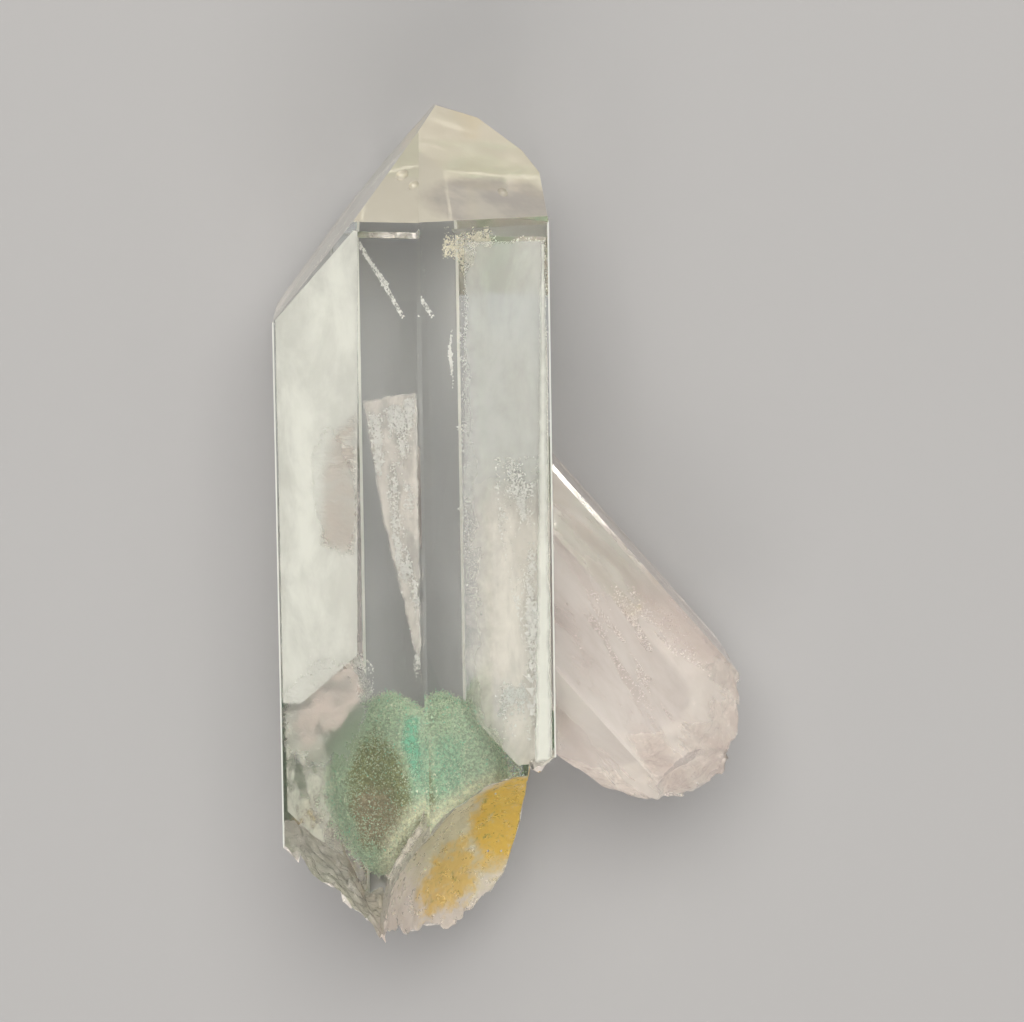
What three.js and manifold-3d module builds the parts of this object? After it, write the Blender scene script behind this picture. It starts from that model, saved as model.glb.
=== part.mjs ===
// Clear quartz crystal with a smaller side crystal and a green fuchsite inclusion, in millimetres.
// The long axis of the main crystal lies along Y, its point at +Y; Z is up, and the stone lies on
// the main crystal's rear edge and on the lowest corner of the side crystal.
import * as THREE from "three";
import { mergeVertices } from "three/addons/utils/BufferGeometryUtils.js";
import Module from "manifold-3d";

const wasm = await Module();
wasm.setup();

// Shared values
const RHOMB_SLOPE = THREE.MathUtils.degToRad(51.8); // slope of the point's faces from the cross plane
const STEEP_SLOPE = THREE.MathUtils.degToRad(75); // slope of the thin faces below the point's faces
const BEVEL = 0.05; // depth of the worn bevel along each long edge
const BLOCK = 160; // side of the blocks that cut along a plane
const LONG = 70; // length of the bars that the crystals are cut from

// Main crystal: each long face as [turn about the axis in degrees from +X towards +Z, distance]
const AXIS_HEIGHT = 7.62;
const LONG_FACES = [
  [0, 7.38], [60, 6.88], [120, 6.34], [180, 7.38], [240, 6.76], [300, 6.43],
];
// Each face of the point as [turn, height at which its plane crosses the axis]
const POINT_FACES = [
  [60, 24.62], [120, 23.88], [176, 20.16], [240, 24.6], [300, 22.8],
];
// Each thin steep face as [turn, distance of the long face under it, height of its lower line]
const STEEP_FACES = [
  [60, 6.88, 15.6], [120, 6.34, 15.5],
];
// The rounded right shoulder as planes across Y: [turn from +X towards +Y in degrees, distance]
const SHOULDER_FACES = [
  [72, 21.27], [53, 19.12], [38, 16.69], [10, 9.99],
];
// Small pits in the point as [x, y, z, radius]
const PITS = [
  [5.0, 17.35, 11.4, 0.3], [-0.35, 18.45, 12.55, 0.4], [0.3, 17.9, 13.3, 0.3],
  [1.2, 22.0, 9.4, 0.25],
];

// Broken base: the lower outline as [x, y, height of the rim]
const BASE_OUTLINE = [
  [-8, -17.2, 10.3], [-7.1, -17.85, 10.7], [-6.4, -18.5, 11.1], [-5.4, -19.1, 11.8],
  [-4.6, -19.8, 12.2], [-3.7, -20.4, 12.7], [-2.9, -21.1, 13.2], [-2.2, -21.7, 13.6],
  [-1.5, -22.3, 12], [-1.0, -22.85, 9.5], [-0.3, -22.75, 8.5], [0.4, -22.5, 8], [1.2, -23.2, 7],
  [2.0, -22.75, 6.4], [2.9, -22.0, 6], [3.7, -21.3, 5.6], [4.5, -20.2, 5.4],
  [5.1, -18.5, 5.6], [5.5, -16.9, 6], [5.75, -15.2, 7], [5.95, -13.7, 8],
  [6.6, -13.75, 9], [7.0, -13.35, 10], [8, -12.8, 10],
];
const BASE_BACK_CURVE = 0.02; // how fast the base shortens behind its rim, per millimetre squared
const BASE_FRONT_SLOPE = 0.12; // how fast the base shortens in front of its rim
// The large shell-shaped break in the front of the base
const SCOOP = { center: new THREE.Vector3(6.6, -22.1, 13.3), radius: 8.45 };
const SCOOP_SPLINTERS = 0.55; // share of the splinters that stays inside it
const BASE_GRID = { width: 18, depth: 18, cells: 46 };

// Side crystal: turned about Z, tipped down, and moved
const SIDE_TURN = THREE.MathUtils.degToRad(40.5);
const SIDE_TIP = THREE.MathUtils.degToRad(3);
const SIDE_PIVOT_Y = -14; // point of its axis that keeps its place when it is tipped
const SIDE_CENTER_X = 2.2;
const SIDE_HEIGHT = 4.6;
const SIDE_LONG_FACES = [
  [3, 5.1], [65, 3.8], [125, 5.27], [185, 5.3], [245, 4.0], [305, 4.5],
];
const SIDE_POINT_HEIGHT = 7.5;
// Its broken end as [x, y] in its own frame
const SIDE_OUTLINE = [
  [-6, -6], [-4.6, -9.5], [-3.6, -12.6], [-3.0, -15.3], [-2.3, -17.6], [-0.8, -19.8],
  [0.9, -21.2], [2.0, -21.4], [3.1, -21.3], [4.6, -20.6], [6.1, -19.7], [7.2, -18.5], [8.2, -17.9],
];
const SIDE_RIM_HEIGHT = 6.5;
const SIDE_BACK_SLOPE = 0.45;
const SIDE_SCOOP = { center: new THREE.Vector3(2.6, -23.4, 12.2), radius: 5.4 };
const SIDE_GRID = { width: 16, depth: 13, cells: 34 };

// Inclusion: profile of the green pyramid as [radius, y], and the gap round it
const INCLUSION_PROFILE = [
  [0, -9.6], [1.25, -10.0], [2.4, -10.7], [3.5, -11.6], [4.3, -12.7], [4.75, -13.9],
  [4.65, -15.2], [3.9, -16.9], [2.85, -18.3], [1.5, -19.2], [0, -19.7],
];
const INCLUSION_CENTER = [-0.15, 7.9]; // x and z of its axis
const INCLUSION_SIDES = 36;
const INCLUSION_WALL = 0.7; // clear wall between its pocket and the shell-shaped break
const GAP = 0.3;
const PARTING_Y = -15.1; // the cross plane that parts the crystal, so that the inclusion can go in

/** A three.js geometry as a solid. */
function solidOf(geometry) {
  const bare = geometry.clone();
  bare.deleteAttribute("normal");
  bare.deleteAttribute("uv");
  const merged = mergeVertices(bare, 1e-4);
  return new wasm.Manifold(
    new wasm.Mesh({
      numProp: 3,
      vertProperties: new Float32Array(merged.attributes.position.array),
      triVerts: new Uint32Array(merged.index.array),
    }),
  );
}

/** A solid as a named three.js mesh. */
function meshOf(name, solid, look) {
  const data = solid.getMesh();
  const geometry = new THREE.BufferGeometry();
  geometry.setAttribute("position", new THREE.BufferAttribute(data.vertProperties, 3));
  geometry.setIndex(new THREE.BufferAttribute(data.triVerts, 1));
  geometry.computeVertexNormals();
  const mesh = new THREE.Mesh(geometry, new THREE.MeshStandardMaterial(look));
  mesh.name = name;
  return mesh;
}

/** The solid without what lies beyond the plane normal . p = distance. */
function cutBeyond(solid, normal, distance) {
  const block = new THREE.BoxGeometry(BLOCK, BLOCK, BLOCK);
  block.translate(0, 0, BLOCK / 2);
  block.applyQuaternion(
    new THREE.Quaternion().setFromUnitVectors(new THREE.Vector3(0, 0, 1), normal),
  );
  block.translate(normal.x * distance, normal.y * distance, normal.z * distance);
  return solid.subtract(solidOf(block));
}

/** The unit normal of a face turned about the axis and sloped from the cross plane. */
function faceNormal(turnDegrees, slope) {
  const turn = THREE.MathUtils.degToRad(turnDegrees);
  return new THREE.Vector3(
    Math.cos(turn) * Math.sin(slope), Math.cos(slope), Math.sin(turn) * Math.sin(slope),
  );
}

/** A bar with six long faces about the Y axis, with worn edges. */
function sixSidedBar(faces) {
  let bar = solidOf(new THREE.BoxGeometry(40, LONG, 40));
  faces.forEach(([turn, distance], i) => {
    const next = faces[(i + 1) % faces.length][1];
    const edge = (distance + next) / Math.sqrt(3) - BEVEL;
    bar = cutBeyond(bar, faceNormal(turn, Math.PI / 2), distance);
    bar = cutBeyond(bar, faceNormal(turn + 30, Math.PI / 2), edge);
  });
  return bar;
}

/** The value on a line of points at x, with each column after the first read in between them. */
function alongLine(points, x, column) {
  const last = points.length - 1;
  if (x <= points[0][0]) return points[0][column];
  if (x >= points[last][0]) return points[last][column];
  const i = points.findIndex((point) => point[0] >= x);
  const [from, to] = [points[i - 1], points[i]];
  return THREE.MathUtils.mapLinear(x, from[0], to[0], from[column], to[column]);
}

/** The bowl of a shell-shaped break at x and z, or far below where the break doesn't reach. */
function bowl({ center, radius }, x, z) {
  const left = radius ** 2 - (x - center.x) ** 2 - (z - center.z) ** 2;
  return left > 0 ? center.y + Math.sqrt(left) : -LONG;
}

/** The splintered height of a broken surface, from steps, ribs and fine bumps. */
function splinters(x, z) {
  const ribs = Math.abs(Math.sin(0.95 * x + 0.6 * z + 1.3 * Math.sin(0.7 * z))) - 0.6;
  const steps = Math.sin(2.3 * x - 1.1 * z + 2) * Math.sin(1.7 * z + 0.4 * x);
  const bumps = Math.sin(4.9 * x + 3.7 * z) * Math.sin(5.3 * z - 2.1 * x + 1);
  return 0.3 * ribs + 0.2 * steps + 0.1 * bumps;
}

/** A block below a broken surface, whose upper side follows height(x, z). */
function brokenBlock({ width, depth, cells }, middle, height) {
  const block = new THREE.BoxGeometry(width, 2, depth, cells, 1, cells);
  block.translate(middle.x, 0, middle.z);
  const points = block.attributes.position;
  for (let i = 0; i < points.count; i++) {
    const upper = points.getY(i) > 0;
    points.setY(i, upper ? height(points.getX(i), points.getZ(i)) : -LONG);
  }
  return solidOf(block);
}

/** Height of the main crystal's broken base. */
function baseHeight(x, z) {
  const y = alongLine(BASE_OUTLINE, x, 1);
  const behind = alongLine(BASE_OUTLINE, x, 2) - z;
  const rise = behind > 0 ? BASE_BACK_CURVE * behind ** 2 : -BASE_FRONT_SLOPE * behind;
  const scooped = bowl(SCOOP, x, z);
  if (y + rise > scooped) return y + rise + splinters(x, z);
  return scooped + SCOOP_SPLINTERS * splinters(x, z);
}

/** Height of the side crystal's broken end, in its own frame. */
function sideEndHeight(x, z) {
  const behind = SIDE_RIM_HEIGHT - z;
  const rise = Math.max(0, behind) * SIDE_BACK_SLOPE;
  return Math.max(alongLine(SIDE_OUTLINE, x, 1) + rise, bowl(SIDE_SCOOP, x, z))
    + 0.8 * splinters(x + 3, z + 5);
}

/** The main crystal before it is parted. */
function mainCrystal() {
  let crystal = sixSidedBar(LONG_FACES);
  for (const [turn, height] of POINT_FACES) {
    crystal = cutBeyond(crystal, faceNormal(turn, RHOMB_SLOPE), height * Math.cos(RHOMB_SLOPE));
  }
  for (const [turn, distance, height] of STEEP_FACES) {
    const reach = distance * Math.sin(STEEP_SLOPE) + height * Math.cos(STEEP_SLOPE);
    crystal = cutBeyond(crystal, faceNormal(turn, STEEP_SLOPE), reach);
  }
  for (const [turn, distance] of SHOULDER_FACES) {
    const angle = THREE.MathUtils.degToRad(turn);
    const normal = new THREE.Vector3(Math.cos(angle), Math.sin(angle), 0);
    crystal = cutBeyond(crystal, normal, distance);
  }
  crystal = crystal.translate(0, 0, AXIS_HEIGHT);
  for (const [x, y, z, radius] of PITS) {
    crystal = crystal.subtract(solidOf(new THREE.IcosahedronGeometry(radius, 1).translate(x, y, z)));
  }
  const middle = new THREE.Vector3(0, 0, AXIS_HEIGHT);
  return crystal.subtract(brokenBlock(BASE_GRID, middle, baseHeight));
}

/** The side crystal, with its lowest corner at the given height. */
function sideCrystal(floor) {
  let crystal = sixSidedBar(SIDE_LONG_FACES);
  for (const [turn] of SIDE_LONG_FACES) {
    const reach = SIDE_POINT_HEIGHT * Math.cos(RHOMB_SLOPE);
    crystal = cutBeyond(crystal, faceNormal(turn, RHOMB_SLOPE), reach);
  }
  crystal = crystal.translate(SIDE_CENTER_X, 0, SIDE_HEIGHT);
  const middle = new THREE.Vector3(SIDE_CENTER_X, 0, SIDE_HEIGHT);
  crystal = crystal.subtract(brokenBlock(SIDE_GRID, middle, sideEndHeight));
  const degrees = THREE.MathUtils.radToDeg;
  crystal = crystal
    .translate(0, -SIDE_PIVOT_Y, -SIDE_HEIGHT)
    .rotate(degrees(SIDE_TIP), 0, 0)
    .translate(0, SIDE_PIVOT_Y, SIDE_HEIGHT)
    .rotate(0, 0, degrees(SIDE_TURN));
  return crystal.translate(0, 0, floor - crystal.boundingBox().min[2]);
}

/** The green pyramid, grown outwards by a margin, kept inside the shell-shaped break. */
function inclusion(margin) {
  const middle = (INCLUSION_PROFILE[0][1] + INCLUSION_PROFILE.at(-1)[1]) / 2;
  const line = INCLUSION_PROFILE.map(([radius, y]) => new THREE.Vector2(
    radius && radius + margin, y + margin * Math.sign(y - middle) * (radius ? 0.5 : 1),
  ));
  const geometry = new THREE.LatheGeometry(line.reverse(), INCLUSION_SIDES);
  const points = geometry.attributes.position;
  for (let i = 0; i < points.count; i++) {
    const [x, y, z] = [points.getX(i), points.getY(i), points.getZ(i)];
    const turn = Math.atan2(z, x);
    const sixSided = 1 - 0.07 * Math.cos(6 * turn);
    const lumps = 1 + 0.05 * Math.sin(3 * turn + 1.3 * y) + 0.04 * Math.cos(5 * turn - 0.9 * y);
    const share = sixSided * lumps;
    points.setXYZ(i, x * share + INCLUSION_CENTER[0], y, z * share + INCLUSION_CENTER[1]);
  }
  const reach = SCOOP.radius + INCLUSION_WALL + GAP - margin;
  const { x, y, z } = SCOOP.center;
  return solidOf(geometry).subtract(solidOf(new THREE.IcosahedronGeometry(reach, 8).translate(x, y, z)));
}

/** Everything on one side of the parting plane: side 1 is towards the point, -1 the base. */
function oneSide(solid, side) {
  const normal = new THREE.Vector3(0, -side, 0);
  return cutBeyond(solid, normal, -side * PARTING_Y - GAP / 2);
}

function build() {
  const quartz = { color: "#e6ece6", roughness: 0.05, metalness: 0 };
  const green = { color: "#7fb79a", roughness: 0.6, metalness: 0 };
  const main = mainCrystal();
  const hollow = main.subtract(inclusion(GAP));
  const upper = oneSide(hollow, 1).add(sideCrystal(main.boundingBox().min[2]));
  const group = new THREE.Group();
  group.add(
    meshOf("quartz_crystal", upper, quartz),
    meshOf("quartz_base", oneSide(hollow, -1), quartz),
    meshOf("fuchsite", inclusion(0), green),
  );
  const box = new THREE.Box3().setFromObject(group);
  const center = box.getCenter(new THREE.Vector3());
  group.position.set(-center.x, -center.y, -box.min.z);
  return group;
}

export default build();
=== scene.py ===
"""Clear quartz crystal with a smaller side crystal and a green fuchsite inclusion.

The shapes are worked out in millimetres in the crystal's own frame, with the long axis along Y, the
point at +Y and Z up, and are then moved onto the CAD frame, in metres.
"""

import itertools
import logging
from dataclasses import dataclass, field
from enum import Enum

import bmesh
import bpy
import numpy as np
from mathutils import Matrix, Vector

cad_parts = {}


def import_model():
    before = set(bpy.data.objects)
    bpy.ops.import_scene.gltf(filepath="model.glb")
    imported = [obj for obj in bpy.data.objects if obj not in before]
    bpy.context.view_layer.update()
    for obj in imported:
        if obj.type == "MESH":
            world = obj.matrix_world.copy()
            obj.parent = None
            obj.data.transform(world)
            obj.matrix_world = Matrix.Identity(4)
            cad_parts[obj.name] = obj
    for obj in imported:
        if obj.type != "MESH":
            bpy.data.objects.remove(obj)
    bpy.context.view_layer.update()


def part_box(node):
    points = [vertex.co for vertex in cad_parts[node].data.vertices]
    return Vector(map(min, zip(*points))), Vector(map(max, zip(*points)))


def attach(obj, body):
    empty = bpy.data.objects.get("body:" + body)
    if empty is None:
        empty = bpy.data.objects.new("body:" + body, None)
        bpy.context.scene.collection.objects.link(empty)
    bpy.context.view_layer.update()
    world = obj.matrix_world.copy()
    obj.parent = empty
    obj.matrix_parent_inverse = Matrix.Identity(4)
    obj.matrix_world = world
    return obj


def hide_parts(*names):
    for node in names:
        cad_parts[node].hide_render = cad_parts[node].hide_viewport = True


LOG = logging.getLogger("quartz")
MM = 0.001
QUARTZ_IOR = 1.544
RHOMB_SLOPE = np.radians(51.8)  # slope of the point's faces from the cross plane
STEEP_SLOPE = np.radians(75.0)  # slope of the two narrow faces under the point
BEVEL = 0.05  # depth of the worn long edges, whose pale colour is a painted highlight
AXIS_HEIGHT = 7.62  # height of the main crystal's axis
SIDE_TURN = np.radians(40.5)  # turn of the side crystal about Z
SIDE_AXIS = (2.2, 4.6)  # x and z of the side crystal's axis before it is turned
BREAK_CENTER = (6.6, -22.1, 13.3)  # ball of the shell-shaped break in the base
BREAK_RADIUS = 8.45
FAR_END = 35.0  # where both crystals end before their lower ends are broken off
CREAM_AND_LIFT_DEPTH = 1.0  # how deep the cream tint reaches from the break into the inclusion; partly its own colour, partly a painted lift of the shade there
SOLVABLE = 1e-6  # smallest determinant of three planes that meet in one point
HAIR = 1e-6  # how far a corner may lie outside a plane
Array = np.ndarray


class Slot(Enum):
    """Material slots of the clear piece, in their order on the mesh."""

    SMOOTH = 0
    BROKEN = 1
    STAINED = 2
    POINT = 3
    CLOUDY = 4
    EDGE = 5


class Flake(Enum):
    """Colours of the loose green flakes, in the order of their mesh's slots."""

    MINT = 0
    TURQUOISE = 1
    OLIVE = 2
    PALE = 3


class Op(Enum):
    """Boolean operations between two closed meshes."""

    JOIN = "UNION"
    CUT = "DIFFERENCE"


# Finishes


class NodeBench:
    """Short ways to lay out the nodes of one material."""

    def __init__(self, name: str) -> None:
        """Start a material with only its output and a Principled shader.

        Args:
            name: The material's name.
        """
        self.material = bpy.data.materials.new(name)
        self.material.use_nodes = True
        self.tree = self.material.node_tree
        self.shader = self.tree.nodes["Principled BSDF"]
        self.coordinates = self.tree.nodes.new("ShaderNodeTexCoord").outputs["Object"]

    def feed(self, node: bpy.types.Node, inputs: dict) -> None:
        """Fill a node's inputs.

        Args:
            node: The node.
            inputs: Numbers, colours of three numbers or sockets, by the name or the place of the input.
        """
        for key, value in inputs.items():
            socket = node.inputs[key]
            if isinstance(value, bpy.types.NodeSocket):
                self.tree.links.new(value, socket)
            else:
                socket.default_value = (*value, 1.0) if socket.type == "RGBA" else value

    def node(self, kind: str, inputs: dict, **settings: object) -> bpy.types.Node:
        """Add a node.

        Args:
            kind: The end of the node's type name.
            inputs: What its inputs get, by name or place.
            settings: The node's own properties, by name.

        Returns:
            The new node.
        """
        made = self.tree.nodes.new("ShaderNode" + kind)
        for key, value in settings.items():
            setattr(made, key, value)
        self.feed(made, inputs)
        return made

    def shade(self, **inputs: object) -> bpy.types.Material:
        """Fill the shader's inputs, named with underscores for spaces, and hand over the material."""
        self.feed(self.shader, {name.replace("_", " "): value for name, value in inputs.items()})
        return self.material

    def math(self, operation: str, a: object, b: object) -> bpy.types.NodeSocket:
        """Work out a sum, product or the like of two numbers or sockets."""
        return self.node("Math", {0: a, 1: b}, operation=operation).outputs[0]

    def noise(self, size_mm: float, detail: float = 4.0, rough: float = 0.55, stretch: tuple = (1, 1, 1),
              distortion: float = 0.0) -> bpy.types.NodeSocket:
        """Add a noise texture on the object's own coordinates.

        Args:
            size_mm: Size of its largest features.
            detail: Number of finer layers.
            rough: Share that each finer layer keeps.
            stretch: How many times longer the features are along each axis.
            distortion: How far the features are bent.

        Returns:
            The noise from 0 to 1.
        """
        place = self.node("Mapping", {"Scale": [1.0 / s for s in stretch], "Vector": self.coordinates},
                          vector_type="POINT")
        made = self.node("TexNoise", {"Scale": 1.0 / (size_mm * MM), "Detail": detail, "Roughness": rough,
                                      "Distortion": distortion, "Vector": place.outputs[0]})
        return made.outputs["Fac"]

    def ramp(self, value: object, low: float, high: float, to_low: float = 0.0,
             to_high: float = 1.0) -> bpy.types.NodeSocket:
        """Map low and high smoothly to to_low and to_high, and hold the value beyond both."""
        inputs = {"Value": value, "From Min": low, "From Max": high, "To Min": to_low, "To Max": to_high}
        return self.node("MapRange", inputs, interpolation_type="SMOOTHSTEP").outputs["Result"]

    def inside(self, outline_mm: Array, soft_mm: float, ragged_mm: float) -> bpy.types.NodeSocket:
        """The inside of an outline seen along Z.

        Args:
            outline_mm: Corners of a convex anticlockwise outline in the object's frame.
            soft_mm: Width over which it fades in from its edge.
            ragged_mm: How far noise pushes its edge in and out.

        Returns:
            1 well inside the outline and 0 outside.
        """
        depth = None
        for start, end in zip(outline_mm, np.roll(outline_mm, -1, axis=0)):
            along = (end - start) / np.linalg.norm(end - start)
            inward = np.array([-along[1], along[0]])
            inputs = {0: self.coordinates, 1: (*(inward / MM), 0.0)}
            dot = self.node("VectorMath", inputs, operation="DOT_PRODUCT")
            off = self.math("SUBTRACT", dot.outputs["Value"], float(inward @ start))
            depth = off if depth is None else self.math("MINIMUM", depth, off)
        push = self.math("MULTIPLY", self.math("SUBTRACT", self.noise(1.2, 5, 0.6), 0.55), 2.0 * ragged_mm)
        return self.ramp(self.math("ADD", depth, push), 0.0, soft_mm)

    def bump(self, height: object, depth_mm: float) -> bpy.types.NodeSocket:
        """A normal bumped by a height, whose 0 to 1 stands for the depth."""
        made = self.node("Bump", {"Distance": depth_mm * MM, "Strength": 1.0, "Height": height})
        return made.outputs["Normal"]

    def mix(self, factor: object, a: object, b: object) -> bpy.types.NodeSocket:
        """Mix two colours, with the factor as the share of the second."""
        return self.node("Mix", {0: factor, 6: a, 7: b}, data_type="RGBA").outputs[2]


@dataclass(frozen=True)
class Patch:
    """A soft ragged patch, egg-shaped, placed in the crystal's frame in mm."""

    center: tuple
    radii: tuple
    turn: float = 0.0  # about Z, in radians
    edge: float = 0.35  # width of its edge, as a share of the radii
    ragged: float = 0.45  # how far noise pushes its edge in and out

    def mask(self, bench: NodeBench, shift: Array) -> bpy.types.NodeSocket:
        """Lay the patch out on a bench.

        Args:
            bench: The material's bench.
            shift: Move from the crystal's frame to the object's frame, in mm.

        Returns:
            1 inside the patch and 0 outside.
        """
        inputs = {"Location": (np.array(self.center) + shift) * MM, "Rotation": (0.0, 0.0, self.turn),
                  "Scale": np.array(self.radii) * MM, "Vector": bench.coordinates}
        place = bench.node("Mapping", inputs, vector_type="TEXTURE")
        far = bench.node("VectorMath", {0: place.outputs[0]}, operation="LENGTH").outputs["Value"]
        push = bench.math("SUBTRACT", bench.noise(0.9, 5, 0.65), 0.5)
        off = bench.math("ADD", far, bench.math("MULTIPLY", push, 2.0 * self.ragged))
        return bench.ramp(off, 1.0 + self.edge / 2, 1.0 - self.edge / 2)


@dataclass(frozen=True)
class ClearQuartz:
    """Flat growth faces: clear glassy quartz with faint cross lines and etched patches."""

    tint: tuple = (0.985, 1.0, 0.985)
    roughness: float = 0.015
    etched_roughness: float = 0.32
    relief_share: float = 0.05
    patches: tuple = (Patch((-4.2, 1.6, 12.4), (1.15, 3.3, 3.0), 0.12, 0.12, 0.35),
                      Patch((-4.9, -10.2, 12.0), (2.4, 3.0, 3.0), -0.5, 0.2, 0.5))

    def material(self, shift: Array) -> bpy.types.Material:
        """Build the material.

        Args:
            shift: Move from the crystal's frame to the object's frame, in mm.

        Returns:
            The material.
        """
        bench = NodeBench("quartz_smooth")
        lines = bench.noise(0.35, 3, 0.6, (30, 1, 30))
        waves = bench.noise(2.5, 2, 0.5, (3, 1, 3))
        relief = bench.math("ADD", bench.math("MULTIPLY", lines, 0.35), waves)
        etched: object = 0.0
        for patch in self.patches:
            etched = bench.math("MAXIMUM", etched, patch.mask(bench, shift))
        dulled = bench.math("MULTIPLY", etched, self.etched_roughness)
        ripples = bench.math("MULTIPLY", bench.noise(0.28, 4, 0.6, (1.6, 0.8, 1), 0.6), etched)
        height = bench.math("ADD", bench.math("MULTIPLY", relief, self.relief_share), ripples)
        return bench.shade(IOR=QUARTZ_IOR, Transmission_Weight=1.0, Base_Color=self.tint,
                           Roughness=bench.math("ADD", dulled, self.roughness),
                           Normal=bench.bump(height, 0.09))


@dataclass(frozen=True)
class MilkyPointPaintedReflection:
    """The sloping faces of the point, with a thin milky skin under them, whose beige is a painted reflection
    of warm light, and a darker band across.
    """

    # milky skin colour: its beige is a painted reflection of warm light off the point's faces
    tint: tuple = (0.78, 0.73, 0.61)
    shade: tuple = (0.50, 0.46, 0.42)
    transmission: float = 0.55
    roughness: float = 0.04
    band: Patch = Patch((4.4, 16.7, 11.0), (4.0, 1.35, 6.0), -0.12, 0.35, 0.12)

    def material(self, shift: Array) -> bpy.types.Material:
        """Build the material.

        Args:
            shift: Move from the crystal's frame to the object's frame, in mm.

        Returns:
            The material.
        """
        bench = NodeBench("quartz_point")
        wisps = bench.ramp(bench.noise(1.6, 4, 0.55, (2, 1, 1)), 0.3, 0.62, 0.45, 1.0)
        shaded = bench.math("MULTIPLY", self.band.mask(bench, shift), wisps)
        return bench.shade(IOR=QUARTZ_IOR, Transmission_Weight=self.transmission, Roughness=self.roughness,
                           Base_Color=bench.mix(shaded, self.tint, self.shade),
                           Normal=bench.bump(bench.noise(1.6, 3, 0.5), 0.02))


@dataclass(frozen=True)
class CloudyQuartz:
    """The side crystal's faces: glassy, with whitish streaks close under them."""

    dim: tuple = (0.74, 0.65, 0.62)
    white: tuple = (0.99, 0.95, 0.91)
    transmission: float = 0.72
    roughness: float = 0.06

    def material(self) -> bpy.types.Material:
        """Build the material, with its streaks along the side crystal.

        Returns:
            The material.
        """
        bench = NodeBench("quartz_cloudy")
        inputs = {"Angle": SIDE_TURN, "Vector": bench.coordinates}
        bench.coordinates = bench.node("VectorRotate", inputs, rotation_type="Z_AXIS", invert=True).outputs[0]
        streaks = bench.ramp(bench.noise(2.6, 6, 0.6, (1, 4, 1), 0.4), 0.35, 0.62)
        return bench.shade(IOR=QUARTZ_IOR, Transmission_Weight=self.transmission, Roughness=self.roughness,
                           Base_Color=bench.mix(streaks, self.dim, self.white),
                           Normal=bench.bump(bench.noise(1.2, 4, 0.55, (1, 3, 1)), 0.03))


@dataclass(frozen=True)
class BrokenQuartz:
    """Broken faces: clear to frosted, with splintered relief."""

    tint: tuple = (0.99, 0.93, 0.88)
    transmission: float = 0.3

    def material(self) -> bpy.types.Material:
        """Build the material.

        Returns:
            The material.
        """
        bench = NodeBench("quartz_broken")
        return bench.shade(IOR=QUARTZ_IOR, Transmission_Weight=self.transmission, Base_Color=self.tint,
                           Roughness=bench.ramp(bench.noise(0.8, 5, 0.6), 0.35, 0.7, 0.05, 0.4),
                           Normal=bench.bump(bench.noise(0.3, 5, 0.65, distortion=0.8), 0.08))


@dataclass(frozen=True)
class StainedQuartz:
    """The shell-shaped break in the base: pale with a yellow iron stain."""

    pale: tuple = (0.93, 0.84, 0.78)
    cream: tuple = (0.86, 0.80, 0.58)
    yellow: tuple = (0.95, 0.60, 0.07)
    olive: tuple = (0.42, 0.34, 0.05)
    transmission: float = 0.55
    band: Patch = Patch((4.9, -16.6, 8.0), (1.9, 3.6, 7.0), -0.35, 0.5, 0.5)
    spot: Patch = Patch((1.6, -20.2, 9.0), (1.3, 2.2, 7.0), -0.5, 0.6, 0.9)
    spot_share: float = 0.8
    haze: Patch = Patch((2.6, -18.0, 9.0), (3.2, 3.4, 8.0), -0.6, 0.9, 0.7)

    def material(self, shift: Array) -> bpy.types.Material:
        """Build the material.

        Args:
            shift: Move from the crystal's frame to the object's frame, in mm.

        Returns:
            The material.
        """
        bench = NodeBench("quartz_stained")
        spot = bench.math("MULTIPLY", self.spot.mask(bench, shift), self.spot_share)
        stained = bench.math("MAXIMUM", self.band.mask(bench, shift), spot)
        mottle = bench.ramp(bench.noise(0.7, 6, 0.7), 0.22, 0.46)
        dirt = bench.ramp(bench.noise(0.45, 6, 0.7, (1, 1.5, 1), 1.0), 0.55, 0.68)
        colour = bench.mix(self.haze.mask(bench, shift), self.pale, self.cream)
        colour = bench.mix(bench.math("MULTIPLY", stained, mottle), colour, self.yellow)
        colour = bench.mix(bench.math("MULTIPLY", stained, dirt), colour, self.olive)
        return bench.shade(IOR=QUARTZ_IOR, Transmission_Weight=self.transmission, Base_Color=colour,
                           Roughness=bench.ramp(bench.noise(0.6, 5, 0.6), 0.35, 0.7, 0.25, 0.6),
                           Normal=bench.bump(bench.noise(0.25, 6, 0.7, distortion=0.6), 0.1))


@dataclass(frozen=True)
class Plain:
    """An opaque finish of one colour, for grains, the pale rims painted on the bevels as a highlight, the
    floor and the backdrops.
    """

    name: str
    colour: tuple
    roughness: float = 0.5
    ior: float = 1.5

    def material(self) -> bpy.types.Material:
        """Build the material."""
        return NodeBench(self.name).shade(Base_Color=self.colour, Roughness=self.roughness, IOR=self.ior)


# pale opaque rims on the bevels: painted highlight, which also covers the contact shadow of the edge that
# lies on the floor
PAINTED_HIGHLIGHT_RIM = Plain("quartz_edge", (0.86, 0.88, 0.84), 0.35, QUARTZ_IOR)


@dataclass(frozen=True)
class FilmFinish:
    """A thin milky film that fades out towards its outline."""

    colour: tuple
    most: float
    least: float
    size_mm: float
    stretch: tuple
    soft_mm: float
    ragged_mm: float

    def material(self, name: str, outline: Array) -> bpy.types.Material:
        """Build the material.

        Args:
            name: The material's name.
            outline: Corners of the film in the object's frame, in mm.

        Returns:
            The material.
        """
        bench = NodeBench(name)
        mask = bench.inside(outline, self.soft_mm, self.ragged_mm)
        wisps = bench.ramp(bench.noise(self.size_mm, 6, 0.6, self.stretch, 0.3), 0.35, 0.65, self.least, 1.0)
        alpha = bench.math("MULTIPLY", bench.math("MULTIPLY", mask, wisps), self.most)
        return bench.shade(Base_Color=self.colour, Roughness=0.6, Alpha=alpha)


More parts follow.
